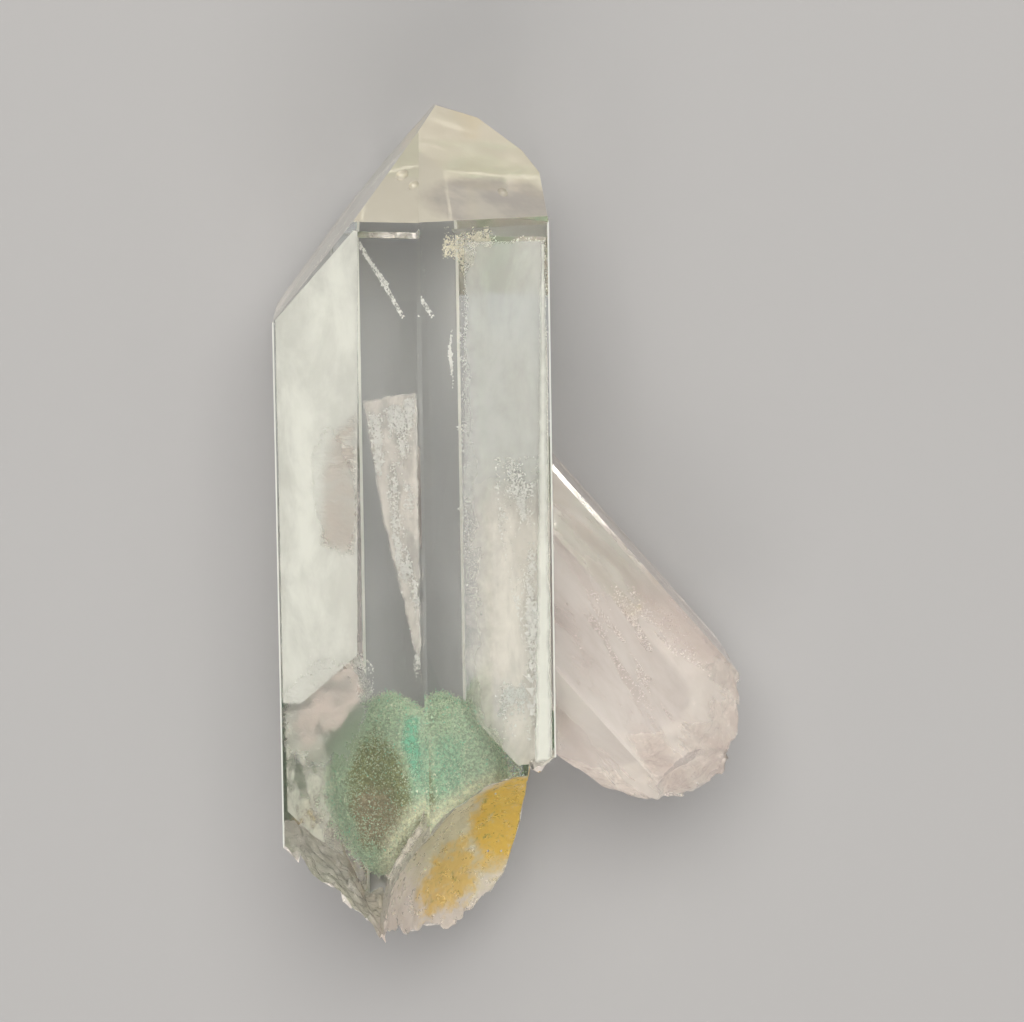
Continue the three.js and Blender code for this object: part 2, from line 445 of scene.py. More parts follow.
@dataclass(frozen=True)
class PhantomFinish:
    """The dusted skin of the green pyramid."""

    mint: tuple = (0.50, 0.64, 0.47)
    pale: tuple = (0.56, 0.70, 0.54)
    turquoise: tuple = (0.29, 0.64, 0.46)
    olive: tuple = (0.33, 0.35, 0.19)
    brown: tuple = (0.44, 0.38, 0.26)
    cream: tuple = (0.84, 0.84, 0.64)
    right: Patch = Patch((3.2, -13.5, 9.0), (3.0, 5.0, 6.0), 0.0, 0.4, 0.2)
    window: Patch = Patch((-1.5, -14.9, 11.2), (1.9, 3.6, 3.0), 0.15, 0.6, 0.6)
    core: Patch = Patch((-1.7, -16.0, 11.2), (1.4, 1.7, 3.0), 0.2, 0.6, 0.6)
    bright: Patch = Patch((0.9, -13.4, 11.8), (0.8, 2.2, 3.0), 0.0, 0.6, 0.5)
    bright_share: float = 0.4
    # cream by the break: partly the inclusion's own colour, partly a painted lift of the shade on its part
    # that faces down into the break
    low: Patch = Patch(BREAK_CENTER, (BREAK_RADIUS + CREAM_AND_LIFT_DEPTH,) * 3, 0.0, 0.1, 0.03)

    def material(self, shift: Array) -> bpy.types.Material:
        """Build the material.

        Args:
            shift: Move from the crystal's frame to the object's frame, in mm.

        Returns:
            The material.
        """
        bench = NodeBench("fuchsite_skin")
        colour = bench.mix(self.right.mask(bench, shift), self.mint, self.pale)
        colour = bench.mix(self.window.mask(bench, shift), colour, self.olive)
        colour = bench.mix(self.core.mask(bench, shift), colour, self.brown)
        bright = bench.math("MULTIPLY", self.bright.mask(bench, shift), self.bright_share)
        colour = bench.mix(bright, colour, self.turquoise)
        # cream by the break, partly painted lift of shade
        colour = bench.mix(self.low.mask(bench, shift), colour, self.cream)
        speckle = bench.ramp(bench.noise(0.22, 4, 0.7), 0.42, 0.62, 0.75, 1.15)
        speckled = bench.node("VectorMath", {0: colour, "Scale": speckle}, operation="SCALE").outputs[0]
        return bench.shade(Roughness=0.7, Base_Color=speckled,
                           Normal=bench.bump(bench.noise(0.2, 4, 0.7), 0.12))


# Shapes


def face_normals(turns: Array, slope: float) -> Array:
    """Unit normals of faces turned about Y and sloped from the cross plane.

    Args:
        turns: Turns in degrees from +X towards +Z.
        slope: Slope in radians.

    Returns:
        One normal a row.
    """
    turn = np.radians(np.asarray(turns, float))
    return np.stack([np.cos(turn) * np.sin(slope), np.full(turn.shape, np.cos(slope)),
                     np.sin(turn) * np.sin(slope)], axis=1)


def mesh_object(name: str, vertices: Array, faces: Array) -> bpy.types.Object:
    """Make an object from arrays.

    Args:
        name: The object's name.
        vertices: One vertex a row.
        faces: One face a row, all of the same number of corners.

    Returns:
        The object, linked to the scene.
    """
    mesh = bpy.data.meshes.new(name)
    count, corners = faces.shape
    mesh.vertices.add(len(vertices))
    mesh.vertices.foreach_set("co", np.ascontiguousarray(vertices, np.float32).ravel())
    mesh.loops.add(faces.size)
    mesh.loops.foreach_set("vertex_index", np.ascontiguousarray(faces, np.int32).ravel())
    mesh.polygons.add(count)
    mesh.polygons.foreach_set("loop_start", np.arange(0, faces.size, corners, dtype=np.int32))
    mesh.polygons.foreach_set("use_smooth", np.zeros(count, bool))
    mesh.update(calc_edges=True)
    mesh.validate()
    made = bpy.data.objects.new(name, mesh)
    bpy.context.scene.collection.objects.link(made)
    return made


def outward(made: bpy.types.Object) -> bpy.types.Object:
    """Turn all faces of a closed object outwards.

    Args:
        made: The object.

    Returns:
        The same object.
    """
    shape = bmesh.new()
    shape.from_mesh(made.data)
    bmesh.ops.recalc_face_normals(shape, faces=shape.faces)
    shape.to_mesh(made.data)
    shape.free()
    return made


def shape_object(name: str, shape: bmesh.types.BMesh) -> bpy.types.Object:
    """Make an object from an editable mesh, which is used up.

    Args:
        name: The object's name.
        shape: The editable mesh.

    Returns:
        The object, linked to the scene.
    """
    mesh = bpy.data.meshes.new(name)
    shape.to_mesh(mesh)
    shape.free()
    made = bpy.data.objects.new(name, mesh)
    bpy.context.scene.collection.objects.link(made)
    return made


def convex_object(name: str, normals: Array, distances: Array) -> bpy.types.Object:
    """The solid behind a set of planes: the hull of the points where three meet and none is passed.

    Args:
        name: The object's name.
        normals: Outward unit normals.
        distances: Each plane's distance from the origin.

    Returns:
        The convex object.
    """
    triples = np.array(list(itertools.combinations(range(len(normals)), 3)))
    sides, reach = normals[triples], distances[triples]
    solvable = np.abs(np.linalg.det(sides)) > SOLVABLE
    points = np.linalg.solve(sides[solvable], reach[solvable][..., None])[..., 0]
    inside = (points @ normals.T <= distances + HAIR).all(axis=1)
    points = np.unique(np.round(points[inside], 6), axis=0)
    shape = bmesh.new()
    for point in points:
        shape.verts.new(point)
    bmesh.ops.convex_hull(shape, input=shape.verts)
    bmesh.ops.dissolve_limit(shape, angle_limit=np.radians(0.05), verts=shape.verts, edges=shape.edges)
    bmesh.ops.recalc_face_normals(shape, faces=shape.faces)
    return shape_object(name, shape)


def combine(target: bpy.types.Object, other: bpy.types.Object, operation: Op) -> bpy.types.Object:
    """Join or cut one closed object with another, which is used up.

    Args:
        target: The object that is kept.
        other: The object that is joined on or cut away.
        operation: What is done.

    Returns:
        The target, with its new mesh.
    """
    modifier = target.modifiers.new("combine", "BOOLEAN")
    modifier.operation, modifier.solver, modifier.object = operation.value, "MANIFOLD", other
    graph = bpy.context.evaluated_depsgraph_get()
    mesh = bpy.data.meshes.new_from_object(target.evaluated_get(graph))
    target.modifiers.remove(modifier)
    target.data = mesh
    bpy.data.objects.remove(other)
    return target


@dataclass(frozen=True)
class Noise:
    """Smooth seeded noise over a plane."""

    seed: int
    cells: int = 96

    def at(self, x: Array, z: Array, size: float) -> Array:
        """The noise at points: random numbers on a grid, blended smoothly between its nodes.

        Args:
            x: First coordinate.
            z: Second coordinate.
            size: Size of the features.

        Returns:
            Values from about -1 to 1.
        """
        lattice = np.random.default_rng(self.seed).uniform(-1, 1, (self.cells, self.cells))
        u, v = x / size + 40.3, z / size + 40.7
        i, j = np.floor(u).astype(int), np.floor(v).astype(int)
        a, b = u - i, v - j
        a, b = a * a * (3 - 2 * a), b * b * (3 - 2 * b)
        n = self.cells
        low = lattice[i % n, j % n] * (1 - a) + lattice[(i + 1) % n, j % n] * a
        high = lattice[i % n, (j + 1) % n] * (1 - a) + lattice[(i + 1) % n, (j + 1) % n] * a
        return low * (1 - b) + high * b

    def layers(self, x: Array, z: Array, size: float, count: int = 4) -> Array:
        """Sum of several layers of noise, each half as large and half as strong as the one before."""
        return sum(self.at(x + 7.1 * k, z - 3.3 * k, size / 2**k) / 2**k for k in range(count))


@dataclass(frozen=True)
class Chips:
    """Small flat chips with steps between them, as in splintered quartz, round the middle of a square."""

    seed: int
    middle: tuple
    width: float
    count: int = 260
    tilt: float = 0.35
    step: float = 0.12

    def at(self, x: Array, z: Array) -> Array:
        """Height of the chips at points: the nearest seed's tilted plane and step, with warped borders.

        Args:
            x: First coordinate.
            z: Second coordinate.

        Returns:
            The heights, in mm.
        """
        rng = np.random.default_rng(self.seed)
        seeds = rng.uniform(-0.5, 0.5, (self.count, 2)) * self.width + np.array(self.middle)
        slopes = rng.normal(0, self.tilt, (self.count, 2))
        steps = rng.normal(0, self.step, self.count)
        warp = Noise(self.seed + 1)
        px, pz = x + 0.35 * warp.at(x, z, 0.7), z + 0.35 * warp.at(z, x, 0.6)
        far = (px[..., None] - seeds[:, 0]) ** 2 + (pz[..., None] - seeds[:, 1]) ** 2
        near = far.argmin(axis=-1)
        return (slopes[near, 0] * (x - seeds[near, 0]) + slopes[near, 1] * (z - seeds[near, 1])) + steps[near]


def splinters(x: Array, z: Array) -> Array:
    """The splintered height of a broken surface: waves of three sizes as ribs, steps and bumps.

    Args:
        x: First coordinate in mm.
        z: Second coordinate in mm.

    Returns:
        Heights in mm.
    """
    ribs = np.abs(np.sin(0.95 * x + 0.6 * z + 1.3 * np.sin(0.7 * z))) - 0.6
    steps = np.sin(2.3 * x - 1.1 * z + 2) * np.sin(1.7 * z + 0.4 * x)
    bumps = np.sin(4.9 * x + 3.7 * z) * np.sin(5.3 * z - 2.1 * x + 1)
    return 0.3 * ribs + 0.2 * steps + 0.1 * bumps


@dataclass(frozen=True)
class Bowl:
    """A shell-shaped break, as part of a ball."""

    center: tuple
    radius: float
    toward: tuple
    reach: float = 1.7
    rough: float = 0.5
    ring_depth: float = 0.02
    ring_rate: float = 34.0
    ring_center: tuple = (-1.3, 1.5)
    core: float = 0.03  # share of the radius at which the wedge ends inside
    seed: int = 51

    def off(self, points: Array) -> Array:
        """Distance in mm of points, one a row, from the bowl's skin."""
        return np.linalg.norm(points - np.array(self.center), axis=1) - self.radius

    def cutter(self, cells: int) -> bpy.types.Object:
        """A closed wedge of the ball: its radius less splinters, layers of noise and faint rings.

        Args:
            cells: Number of cells along each side.

        Returns:
            The wedge.
        """
        axis = np.array(self.toward) / np.linalg.norm(self.toward)
        first = np.cross(axis, [0.0, 0.0, 1.0])
        first /= np.linalg.norm(first)
        second = np.cross(axis, first)
        a, b = np.meshgrid(*(np.linspace(-self.reach, self.reach, cells + 1),) * 2, indexing="ij")
        away = axis + a[..., None] * first + b[..., None] * second
        away /= np.linalg.norm(away, axis=-1, keepdims=True)
        x, _, z = np.moveaxis(away * self.radius + np.array(self.center), -1, 0)
        noise = Noise(self.seed)
        from_rings = np.hypot(a - self.ring_center[0], b - self.ring_center[1])
        ripple = np.sin(from_rings * self.ring_rate + 2.5 * noise.at(a * 2, b * 2, 0.6))
        rough = (0.5 * splinters(x, z) + 0.12 * noise.layers(a * self.radius, b * self.radius, 1.2, 5)
                 + 0.05 * noise.layers(a * self.radius + 5, b * self.radius, 0.25, 2))
        radius = self.radius - self.rough * rough - self.ring_depth * ripple
        outer = np.array(self.center) + away * radius[..., None]
        inner = np.array(self.center) + away * self.core * self.radius
        return slab_object("bowl", outer, inner)


@dataclass(frozen=True)
class BrokenEnd:
    """A broken end, as a height over the cross plane.

    The outline has a row for each point of the rim as it is seen: x, y and, where it varies, the rim's z.
    """

    outline: tuple
    rim: float
    back_curve: float
    back_slope: float
    front_slope: float
    bowl: Bowl
    share: float
    lean: tuple
    chips: Chips
    fine: float
    width: float
    depth: float
    middle: tuple
    bottom: float = -60.0

    def height(self, x: Array, z: Array) -> Array:
        """Height of the broken surface: the rim's, a rise behind and in front of it, splinters and chips.

        Args:
            x: First coordinate.
            z: Second coordinate.

        Returns:
            Heights in mm.
        """
        table = np.array(self.outline)
        y = np.interp(x, table[:, 0], table[:, 1])
        rim = np.interp(x, table[:, 0], table[:, 2]) if table.shape[1] == 3 else self.rim
        behind = rim - z
        rise = np.where(behind > 0, self.back_curve * behind**2 + self.back_slope * behind,
                        -self.front_slope * behind)
        rough = self.share * splinters(x + self.lean[0], z + self.lean[1])
        fine = self.chips.at(x, z) + 0.05 * Noise(self.chips.seed + 5).layers(x, z, 0.8)
        return y + rise + rough + self.fine * (fine + 0.04)

    def cutter(self, cells: int) -> bpy.types.Object:
        """A closed block below the broken surface.

        Args:
            cells: Number of cells along each side.

        Returns:
            The block.
        """
        x, z = np.meshgrid(self.middle[0] + self.width * (np.linspace(0, 1, cells + 1) - 0.5),
                           self.middle[1] + self.depth * (np.linspace(0, 1, cells + 1) - 0.5), indexing="ij")
        top = np.stack([x, self.height(x, z), z], axis=-1)
        return slab_object("cutter", top, np.stack([x, np.full(x.shape, self.bottom), z], axis=-1))


def slab_object(name: str, upper: Array, lower: Array) -> bpy.types.Object:
    """A closed mesh of two grids of points and the walls between their rims.

    Args:
        name: The object's name.
        upper: Points of the one side, as rows, columns and three coordinates.
        lower: Points of the other side.

    Returns:
        The object, with its faces turned outwards.
    """
    rows, columns = upper.shape[:2]
    index = np.arange(rows * columns).reshape(rows, columns)
    quads = np.stack([index[:-1, :-1], index[:-1, 1:], index[1:, 1:], index[1:, :-1]], axis=-1).reshape(-1, 4)
    rim = np.concatenate([index[0, :-1], index[:-1, -1], index[-1, :0:-1], index[:0:-1, 0]])
    after = np.roll(rim, -1)
    low = rows * columns
    walls = np.stack([after, rim, rim + low, after + low], axis=-1)
    faces = np.concatenate([quads, quads[:, ::-1] + low, walls])
    points = np.concatenate([upper.reshape(-1, 3), lower.reshape(-1, 3)])
    return outward(mesh_object(name, points, faces))


# The crystals


def prism(long_faces: tuple) -> tuple:
    """Planes of the long faces, and of the worn edges halfway between them, just short of the corners.

    Args:
        long_faces: A turn and a distance for each face.

    Returns:
        The faces' turns, all normals and all distances.
    """
    turns, reach = np.array(long_faces, float).T
    edges = (reach + np.roll(reach, -1)) / np.sqrt(3) - BEVEL
    normals = np.concatenate([face_normals(turns, np.pi / 2), face_normals(turns + 30, np.pi / 2)])
    return turns, normals, np.concatenate([reach, edges])


@dataclass
class SideCrystal:
    """The smaller crystal, turned about Z and tipped down, with a turn and a distance for each long face."""

    turn: float = SIDE_TURN
    tip: float = np.radians(3.0)
    pivot_y: float = -14.0
    center: tuple = SIDE_AXIS
    long_faces: tuple = ((3, 5.1), (65, 3.8), (125, 5.27), (185, 5.3), (245, 4.0), (305, 4.5))
    point_height: float = 7.5
    lift: float = 0.0  # set by build: how far it is raised onto the floor
    end: BrokenEnd = field(default_factory=lambda: BrokenEnd(
        outline=((-6, -6), (-4.6, -9.5), (-3.6, -12.6), (-3.0, -15.3), (-2.3, -17.6), (-0.8, -19.8),
                 (0.9, -21.2), (2.0, -21.4), (3.1, -21.3), (4.6, -20.6), (6.1, -19.7), (7.2, -18.5),
                 (8.2, -17.9)),
        rim=6.5, back_curve=0.0, back_slope=0.45, front_slope=0.0,
        bowl=Bowl((2.6, -23.4, 12.2), 5.4, (0.0, 0.75, -1.0)),
        share=0.8, lean=(3, 5), chips=Chips(31, SIDE_AXIS, 14.0), fine=0.6,
        width=16.0, depth=13.0, middle=SIDE_AXIS))

    def planes(self) -> tuple:
        """Normals and distances of its faces, about its axis.

        Returns:
            The two arrays.
        """
        turns, sides, reach = prism(self.long_faces)
        tips = np.full(len(turns), self.point_height * np.cos(RHOMB_SLOPE))
        normals = np.concatenate([sides, face_normals(turns, RHOMB_SLOPE), [[0, -1, 0]]])
        return normals, np.concatenate([reach, tips, [FAR_END]])

    def placement(self) -> tuple:
        """Turn and move from its own frame to the crystal's frame, before it is set on the floor.

        Returns:
            A 3 by 3 matrix and a move.
        """
        tip = np.array(Matrix.Rotation(self.tip, 3, "X"))
        turn = np.array(Matrix.Rotation(self.turn, 3, "Z"))
        pivot = np.array([0.0, self.pivot_y, self.center[1]])
        return turn @ tip, turn @ (pivot - tip @ pivot)

    def build(self, cells: int, floor: float) -> bpy.types.Object:
        """Build the crystal.

        Args:
            cells: Cells along the broken end.
            floor: Height of its lowest corner.

        Returns:
            The object.
        """
        normals, distances = self.planes()
        middle = np.array([self.center[0], 0.0, self.center[1]])
        made = convex_object("side", normals, distances + normals @ middle)
        combine(made, self.end.cutter(cells), Op.CUT)
        combine(made, self.end.bowl.cutter(cells), Op.CUT)
        turn, move = self.placement()
        points = vertex_array(made) @ turn.T + move
        self.lift = floor - points[:, 2].min()
        points[:, 2] += self.lift
        set_vertices(made, points)
        return made


FRONT_BREAK = Bowl(BREAK_CENTER, BREAK_RADIUS, (-0.70, 0.44, -0.56))


@dataclass
class MainCrystal:
    """The large crystal.

    Long faces have a turn and a distance, and point faces a turn and the height at which they meet the axis.
    Steep faces have a turn, a distance and the height there, shoulder faces a turn from +X towards +Y and a
    distance, and pits a place and a radius.
    """

    long_faces: tuple = ((0, 7.38), (60, 6.88), (120, 6.34), (180, 7.38), (240, 6.76), (300, 6.43))
    point_faces: tuple = ((60, 24.62), (120, 23.88), (176, 20.16), (240, 24.6), (300, 22.8))
    steep_faces: tuple = ((60, 6.88, 15.6), (120, 6.34, 15.5))
    shoulder_faces: tuple = ((72, 21.27), (53, 19.12), (38, 16.69), (10, 9.99))
    pits: tuple = ((5.0, 17.35, 11.4, 0.3), (-0.35, 18.45, 12.55, 0.4), (0.3, 17.9, 13.3, 0.3),
                   (1.2, 22.0, 9.4, 0.25))
    end: BrokenEnd = field(default_factory=lambda: BrokenEnd(
        outline=((-8, -17.2, 10.3), (-7.1, -17.85, 10.7), (-6.4, -18.5, 11.1), (-5.4, -19.1, 11.8),
                 (-4.6, -19.8, 12.2), (-3.7, -20.4, 12.7), (-2.9, -21.1, 13.2), (-2.2, -21.7, 13.6),
                 (-1.5, -22.3, 12), (-1.0, -22.85, 9.5), (-0.3, -22.75, 8.5), (0.4, -22.5, 8),
                 (1.2, -23.2, 7), (2.0, -22.75, 6.4), (2.9, -22.0, 6), (3.7, -21.3, 5.6),
                 (4.5, -20.2, 5.4), (5.1, -18.5, 5.6), (5.5, -16.9, 6), (5.75, -15.2, 7),
                 (5.95, -13.7, 8), (6.6, -13.75, 9), (7.0, -13.35, 10), (8, -12.8, 10)),
        rim=0.0, back_curve=0.02, back_slope=0.0, front_slope=0.12, bowl=FRONT_BREAK,
        share=1.0, lean=(0, 0), chips=Chips(11, (0.0, 7.6), 18.0), fine=0.55,
        width=18.0, depth=18.0, middle=(0.0, AXIS_HEIGHT)))

    def planes(self) -> tuple:
        """Normals and distances of its faces, about its axis.

        Returns:
            The two arrays.
        """
        _, sides, reach = prism(self.long_faces)
        tip_turns, heights = np.array(self.point_faces, float).T
        steep = np.array(self.steep_faces, float)
        shoulder_turns, shoulder_reach = np.array(self.shoulder_faces, float).T
        angle = np.radians(shoulder_turns)
        shoulders = np.stack([np.cos(angle), np.sin(angle), np.zeros(len(angle))], axis=1)
        normals = np.concatenate([sides, face_normals(tip_turns, RHOMB_SLOPE),
                                  face_normals(steep[:, 0], STEEP_SLOPE), shoulders, [[0, -1, 0]]])
        steep_reach = steep[:, 1] * np.sin(STEEP_SLOPE) + steep[:, 2] * np.cos(STEEP_SLOPE)
        return normals, np.concatenate([reach, heights * np.cos(RHOMB_SLOPE), steep_reach, shoulder_reach,
                                        [FAR_END]])

    def build(self, cells: int) -> bpy.types.Object:
        """Build the crystal.

        Args:
            cells: Cells along the broken end.

        Returns:
            The object.
        """
        normals, distances = self.planes()
        made = convex_object("main", normals, distances + normals @ np.array([0.0, 0.0, AXIS_HEIGHT]))
        for x, y, z, radius in self.pits:
            shape = bmesh.new()
            bmesh.ops.create_icosphere(shape, subdivisions=3, radius=radius,
                                       matrix=Matrix.Translation((x, y, z)))
            combine(made, shape_object("pit", shape), Op.CUT)
        combine(made, self.end.cutter(cells), Op.CUT)
        return combine(made, self.end.bowl.cutter(cells), Op.CUT)


def vertex_array(made: bpy.types.Object) -> Array:
    """All vertices of an object.

    Args:
        made: The object.

    Returns:
        One vertex a row.
    """
    flat = np.empty(len(made.data.vertices) * 3, np.float32)
    made.data.vertices.foreach_get("co", flat)
    return flat.reshape(-1, 3).astype(float)


def set_vertices(made: bpy.types.Object, points: Array) -> None:
    """Replace all vertices of an object by points, one a row."""
    made.data.vertices.foreach_set("co", np.ascontiguousarray(points, np.float32).ravel())
    made.data.update()


@dataclass
class ClearPiece:
    """Both crystals grown together, as one clear piece."""

    main: MainCrystal
    side: SideCrystal
    cells: int
    flat_gap: float = 2e-3  # how near its plane a flat face lies
    lit_rim_planes: tuple = (6, 8, 9, 10, 11)  # rows of the main crystal's bevels in its planes, which get the pale painted highlight
    point_start: float = 14.0  # rough faces beyond this height are pits in the point
    point_low: float = 7.0  # faces of the point below this stay clear
    point_lean: float = 0.3  # least y of the normal of a face of the point
    stain_gap: float = 0.4  # how near the break's ball a stained face lies
    stain_start: tuple = (-2.2, -23.5)  # least x and y of a stained face
    chip_gap: float = 0.6  # how near its ball the side crystal's chip lies
    chip_start: float = 8.0  # least x of that chip

    def build(self, low: Vector, high: Vector) -> tuple:
        """Build the piece on the CAD frame.

        Args:
            low: Lowest corner of the CAD crystals, in metres.
            high: Highest corner.

        Returns:
            The object, and the move from the crystal's frame to the object's frame in mm.
        """
        made = self.main.build(self.cells)
        points = vertex_array(made)
        floor = points[:, 2].min()
        combine(made, self.side.build(3 * self.cells // 4, floor), Op.JOIN)
        points = vertex_array(made)
        shift = np.array([low.x / MM - points[:, 0].min(), high.y / MM - points[:, 1].max(), -floor])
        made.data.materials.clear()
        finishes = {
            Slot.SMOOTH: ClearQuartz().material(shift), Slot.BROKEN: BrokenQuartz().material(),
            Slot.STAINED: StainedQuartz().material(shift), Slot.POINT: MilkyPointPaintedReflection().material(shift),
            Slot.CLOUDY: CloudyQuartz().material(), Slot.EDGE: PAINTED_HIGHLIGHT_RIM.material(),
        }
        for slot in Slot:
            made.data.materials.append(finishes[slot])
        self.paint(made)
        set_vertices(made, np.clip((points + shift) * MM, np.array(low), np.array(high)))
        made.name = made.data.name = "quartz_clear"
        return made, shift

    def paint(self, made: bpy.types.Object) -> None:
        """Give each face its slot by the plane that it lies on.

        Args:
            made: The object, still in the crystal's frame.
        """
        mesh = made.data
        centers = np.empty(len(mesh.polygons) * 3, np.float32)
        mesh.polygons.foreach_get("center", centers)
        centers = centers.reshape(-1, 3).astype(float)
        x, y, z = centers.T
        normals, distances = self.main.planes()
        gaps = np.abs((centers - [0, 0, AXIS_HEIGHT]) @ normals.T - distances)
        nearest = gaps.argmin(axis=1)
        flat = gaps.min(axis=1) < self.flat_gap
        on_point = flat & (normals[nearest, 1] > self.point_lean) & (z > self.point_low)
        turn, move = self.side.placement()
        side_normals, side_distances = self.side.planes()
        middle = np.array([self.side.center[0], 0.0, self.side.center[1]])
        own = (centers - move - [0, 0, self.side.lift]) @ turn
        side_gaps = np.abs((own - middle) @ side_normals.T - side_distances)
        cloudy = ~flat & (side_gaps.min(axis=1) < self.flat_gap)
        flat |= cloudy
        near_break = np.abs(self.main.end.bowl.off(centers)) < self.stain_gap
        stained = ~flat & near_break & (x > self.stain_start[0]) & (y > self.stain_start[1])
        chip = ~flat & (x > self.chip_start) & (np.abs(self.side.end.bowl.off(own)) < self.chip_gap)
        # bevels painted pale as a highlight
        lit_rims = np.isin(nearest, self.lit_rim_planes) & flat & ~cloudy & ~on_point
        slots = np.full(len(centers), Slot.BROKEN.value)
        for chosen, slot in ((stained, Slot.STAINED), (flat, Slot.SMOOTH),
                             (on_point | ~flat & (y > self.point_start), Slot.POINT),
                             (cloudy | chip, Slot.CLOUDY), (lit_rims, Slot.EDGE)):
            slots = np.where(chosen, slot.value, slots)
        mesh.polygons.foreach_set("material_index", slots.astype(np.int32))
        mesh.polygons.foreach_set("use_smooth", ~flat)


# The inclusion


def bell(x: Array, y: Array, middle: tuple, widths: tuple) -> Array:
    """A bell curve over a plane: 1 at its middle, falling off over its two widths."""
    return np.exp(-((x - middle[0]) / widths[0]) ** 2 - ((y - middle[1]) / widths[1]) ** 2)


@dataclass
class Phantom:
    """The green pyramid: a dusted skin with loose flakes on it.

    The profile has a row for each ring: its radius and its height. The skin has a share of each radius, and
    the flakes reach on from there by up to their own share.
    """

    profile: tuple = ((0, -9.6), (1.25, -10.0), (2.4, -10.7), (3.5, -11.6), (4.3, -12.7), (4.75, -13.9),
                      (4.65, -15.2), (3.9, -16.9), (2.85, -18.3), (1.5, -19.2), (0, -19.7))
    center: tuple = (-0.15, 7.9)
    wall: float = 0.3  # clear quartz between the inclusion and the break
    rows: int = 90
    columns: int = 160
    skin_share: float = 0.80
    dent: float = 0.03
    pole_inset: float = 0.25
    flakes: int = 49000
    flake_share: float = 0.19
    flake_sizes: tuple = (0.02, 0.06)
    flatness: float = 0.3
    spread: float = 0.13
    finishes: tuple = (
        Plain("fuchsite_mint", (0.56, 0.72, 0.54), 0.4),
        Plain("fuchsite_turquoise", (0.28, 0.72, 0.54), 0.35),
        Plain("fuchsite_olive", (0.33, 0.36, 0.22), 0.45),
        Plain("fuchsite_pale", (0.78, 0.83, 0.66), 0.4),
    )

    def surface(self, turn: Array, y: Array, share: Array) -> Array:
        """Points on or inside its skin: rings of its profile, lightly six-sided and lumpy.

        Args:
            turn: Turn about its axis in radians.
            y: Height in mm.
            share: Share of the radius.

        Returns:
            One point a row.
        """
        radius, height = np.array(self.profile, float).T
        reach = np.interp(-y, -height, radius)
        sixfold = 1 - 0.07 * np.cos(6 * turn)
        lumps = 1 + 0.05 * np.sin(3 * turn + 1.3 * y) + 0.04 * np.cos(5 * turn - 0.9 * y)
        reach = reach * sixfold * lumps * share
        points = np.stack([self.center[0] + reach * np.cos(turn), y,
                           self.center[1] + reach * np.sin(turn)], axis=-1)
        away = points - np.array(BREAK_CENTER)
        far = np.linalg.norm(away, axis=-1, keepdims=True)
        keep = BREAK_RADIUS + self.wall
        return np.where(far < keep, np.array(BREAK_CENTER) + away / far * keep, points)

    def skin(self, shift: Array) -> bpy.types.Object:
        """The dusted skin: rings of the surface, closest at both ends, and a point at each end.

        Args:
            shift: Move to the object's frame in mm.

        Returns:
            The object.
        """
        top_y, bottom_y = self.profile[0][1], self.profile[-1][1]
        level = np.linspace(0, 1, self.rows + 1)[1:-1]
        y = top_y + (bottom_y - top_y) * (0.5 - 0.5 * np.cos(np.pi * level))
        turn = np.linspace(0, 2 * np.pi, self.columns, endpoint=False)
        turns, heights = np.meshgrid(turn, y)
        dents = self.skin_share + self.dent * Noise(71).layers(turns * 3.0, heights, 1.0)
        ring = self.surface(turns, heights, dents).reshape(-1, 3)
        pole_y = np.array([top_y - self.pole_inset, bottom_y + self.pole_inset])
        poles = self.surface(np.zeros(2), pole_y, np.zeros(2))
        index = np.arange(len(ring)).reshape(self.rows - 1, self.columns)
        after = np.roll(index, -1, axis=1)
        sides = np.stack([index[:-1], after[:-1], after[1:], index[1:]], axis=-1).reshape(-1, 4)
        top, bottom = len(ring), len(ring) + 1
        caps = np.concatenate([
            np.stack([after[0], index[0], np.full(self.columns, top)], axis=-1),
            np.stack([index[-1], after[-1], np.full(self.columns, bottom)], axis=-1)])
        faces = np.concatenate([sides[:, [0, 1, 2]], sides[:, [0, 2, 3]], caps])
        points = (np.concatenate([ring, poles]) + shift) * MM
        made = outward(mesh_object("fuchsite_skin", points, faces))
        made.data.materials.append(PhantomFinish().material(shift))
        made.data.polygons.foreach_set("use_smooth", np.ones(len(made.data.polygons), bool))
        return made

    def dust(self, shift: Array, rng: np.random.Generator) -> bpy.types.Object:
        """Loose flakes on and round the skin: shares of the radius from the skin's own up, and a scatter.

        Args:
            shift: Move to the object's frame in mm.
            rng: Source of chance.

        Returns:
            The object.
        """
        count = self.flakes
        y = rng.uniform(self.profile[-1][1] + 0.3, self.profile[0][1] - 0.05, count)
        turn = rng.uniform(0, 2 * np.pi, count)
        share = self.skin_share + self.flake_share * rng.random(count) ** 1.3
        places = self.surface(turn, y, share)
        places += rng.normal(0.0, self.spread, places.shape)
        x = places[:, 0]
        sizes = rng.uniform(*self.flake_sizes, count) * (1 + 0.6 * (rng.random(count) < 0.08))
        made = flakes_object("fuchsite_flakes", places + shift, sizes, self.flatness, rng)
        for finish in self.finishes:
            made.data.materials.append(finish.material())
        bright = bell(x, y, (0.6, -13.0), (0.7, 2.0))
        dark = bell(x, y, (-1.5, -14.6), (1.2, 2.4))
        # paler flakes by the break: partly their own colour, partly a painted lift of the shade there
        low = np.exp(-((FRONT_BREAK.off(places) - self.wall) / 0.8) ** 2)
        slot = np.where(rng.random(count) < 0.6 - 0.5 * low, Flake.MINT.value, Flake.PALE.value)
        slot = np.where(rng.random(count) < 0.6 * dark, Flake.OLIVE.value, slot)
        slot = np.where(rng.random(count) < (0.05 + 0.2 * bright) * (1 - low), Flake.TURQUOISE.value, slot)
        made.data.polygons.foreach_set("material_index", np.repeat(slot, len(FLAKE_FACES)).astype(np.int32))
        return made


FLAKE_FACES = ((0, 1, 2), (0, 3, 1), (1, 3, 2), (2, 3, 0))


